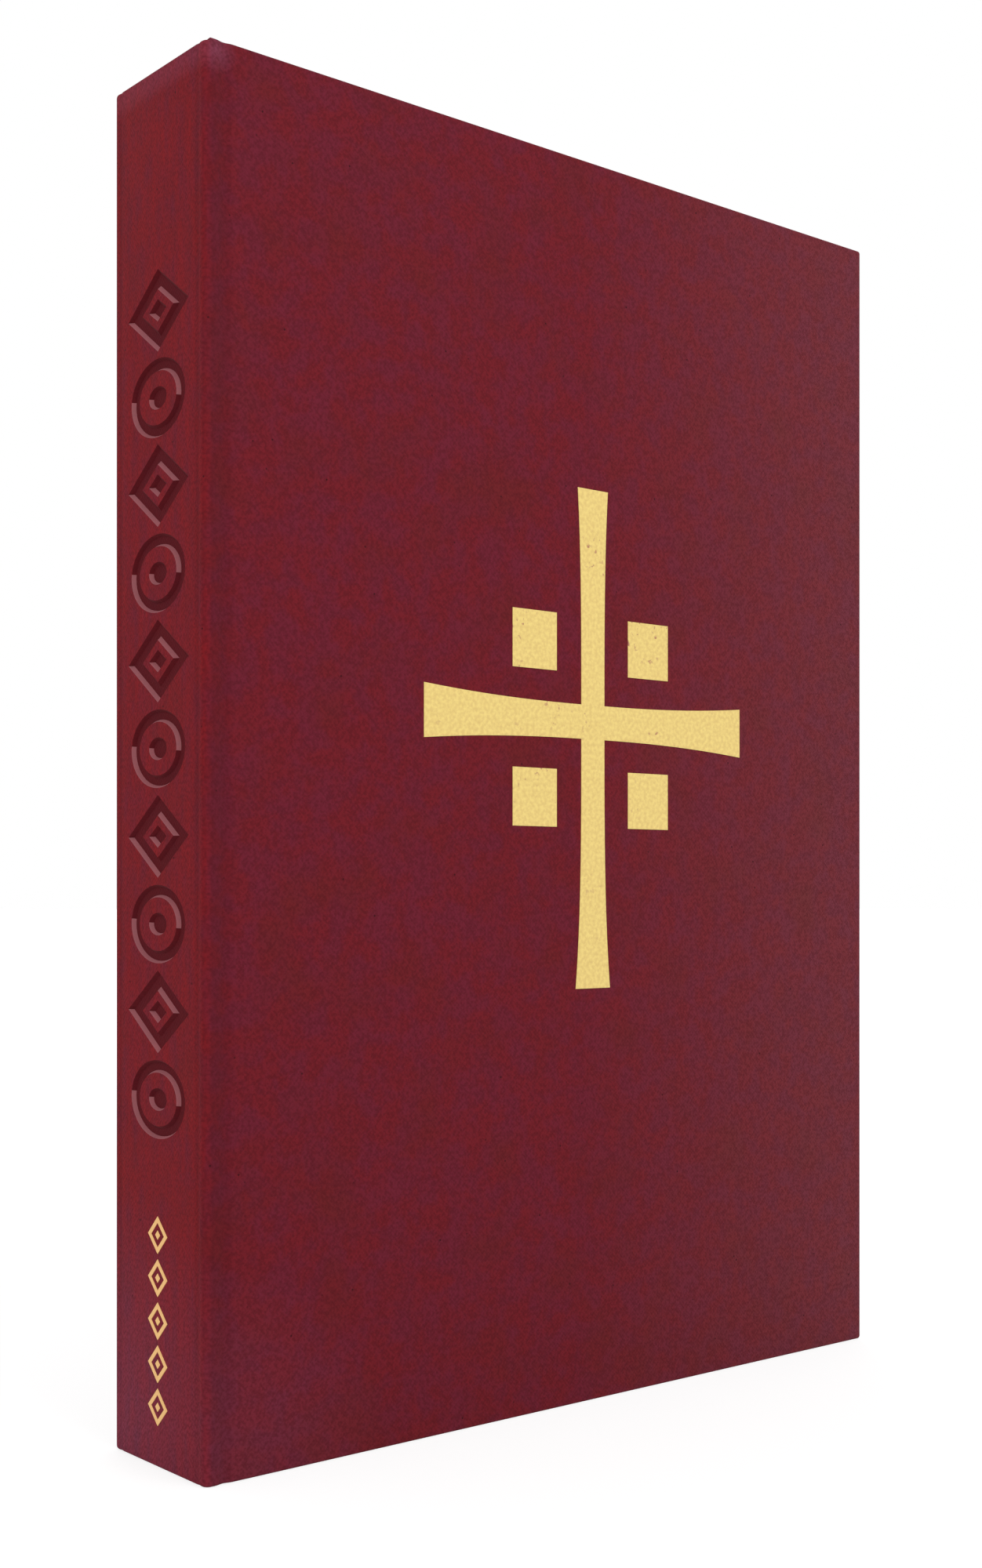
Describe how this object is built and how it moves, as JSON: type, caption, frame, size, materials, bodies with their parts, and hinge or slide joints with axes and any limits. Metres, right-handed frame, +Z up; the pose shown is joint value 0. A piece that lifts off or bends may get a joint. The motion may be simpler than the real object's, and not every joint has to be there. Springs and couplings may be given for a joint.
{
  "type": "prayer book",
  "caption": "Cloth-bound hardcover prayer book with a stamped cross on the front, standing on its tail edge, with covers, endpapers and page halves that open.",
  "frame": {"origin": "middle of the book's box, on the surface that its tail edge stands on", "axes": "+Z up the page, +X from the spine to the fore edge, -Y out of the front cover"},
  "size_m": [0.182, 0.0334, 0.2608],
  "materials": {
    "leaf_paper": "uncoated cream book paper",
    "endpaper": "heavier cream endpaper",
    "infill_card": "thin white card",
    "mull": "open starched cotton weave",
    "kraft_paper": "brown kraft paper",
    "greyboard": "dense grey binder's board",
    "book_cloth": "matt burgundy book cloth, fine plain weave",
    "gold_foil": "pale gold stamping foil pressed into the cloth",
    "thread": "waxed linen thread",
    "headband_silk": "woven band, cream and burgundy"
  },
  "bodies": {
    "spine": {"spine_board": "greyboard", "spine_cloth": "book_cloth", "spine_ornament": "gold_foil", "spine_lining": "kraft_paper", "mull_spine": "mull", "sewing_thread": "thread", "headband": "headband_silk", "tailband": "headband_silk"},
    "front_half": {"signature_01": "leaf_paper", "signature_02": "leaf_paper", "signature_03": "leaf_paper", "signature_04": "leaf_paper", "signature_05": "leaf_paper", "signature_06": "leaf_paper", "signature_07": "leaf_paper", "front_joint_cloth": "book_cloth", "front_hinge_paper": "endpaper", "front_hinge_mull": "mull"},
    "front_cover": {"front_board": "greyboard", "front_cloth": "book_cloth", "front_mull_flange": "mull", "front_infill": "infill_card", "front_pastedown": "endpaper", "front_emblem": "gold_foil"},
    "front_leaf": {"front_flyleaf": "endpaper"},
    "back_half": {"signature_08": "leaf_paper", "signature_09": "leaf_paper", "signature_10": "leaf_paper", "signature_11": "leaf_paper", "signature_12": "leaf_paper", "signature_13": "leaf_paper", "signature_14": "leaf_paper", "back_joint_cloth": "book_cloth", "back_hinge_paper": "endpaper", "back_hinge_mull": "mull"},
    "back_cover": {"back_board": "greyboard", "back_cloth": "book_cloth", "back_mull_flange": "mull", "back_infill": "infill_card", "back_pastedown": "endpaper"},
    "back_leaf": {"back_flyleaf": "endpaper"}
  },
  "joints": [
    {"name": "front_leaves_turn", "type": "hinge", "parent": "spine", "child": "front_half", "pos_m": [-0.08735, -0.01318, 0], "axis": [0, 0, -1], "range_deg": [0, 60]},
    {"name": "front_cover_hinge", "type": "hinge", "parent": "front_half", "child": "front_cover", "pos_m": [-0.08735, -0.01318, 0], "axis": [0, 0, -1], "range_deg": [0, 120], "deforming": ["front_joint_cloth", "front_hinge_paper", "front_hinge_mull"]},
    {"name": "front_flyleaf_turn", "type": "hinge", "parent": "front_half", "child": "front_leaf", "pos_m": [-0.08735, -0.01318, 0], "axis": [0, 0, -1], "range_deg": [0, 40]},
    {"name": "back_leaves_turn", "type": "hinge", "parent": "spine", "child": "back_half", "pos_m": [-0.08735, 0.01318, 0], "axis": [0, 0, 1], "range_deg": [0, 60]},
    {"name": "back_cover_hinge", "type": "hinge", "parent": "back_half", "child": "back_cover", "pos_m": [-0.08735, 0.01318, 0], "axis": [0, 0, 1], "range_deg": [0, 120], "deforming": ["back_joint_cloth", "back_hinge_paper", "back_hinge_mull"]},
    {"name": "back_flyleaf_turn", "type": "hinge", "parent": "back_half", "child": "back_leaf", "pos_m": [-0.08735, 0.01318, 0], "axis": [0, 0, 1], "range_deg": [0, 40]}
  ],
  "couplings": [
    {"joint": "front_flyleaf_turn", "follows": "front_cover_hinge", "ratio": 0.33},
    {"joint": "back_flyleaf_turn", "follows": "back_cover_hinge", "ratio": 0.33}
  ]
}
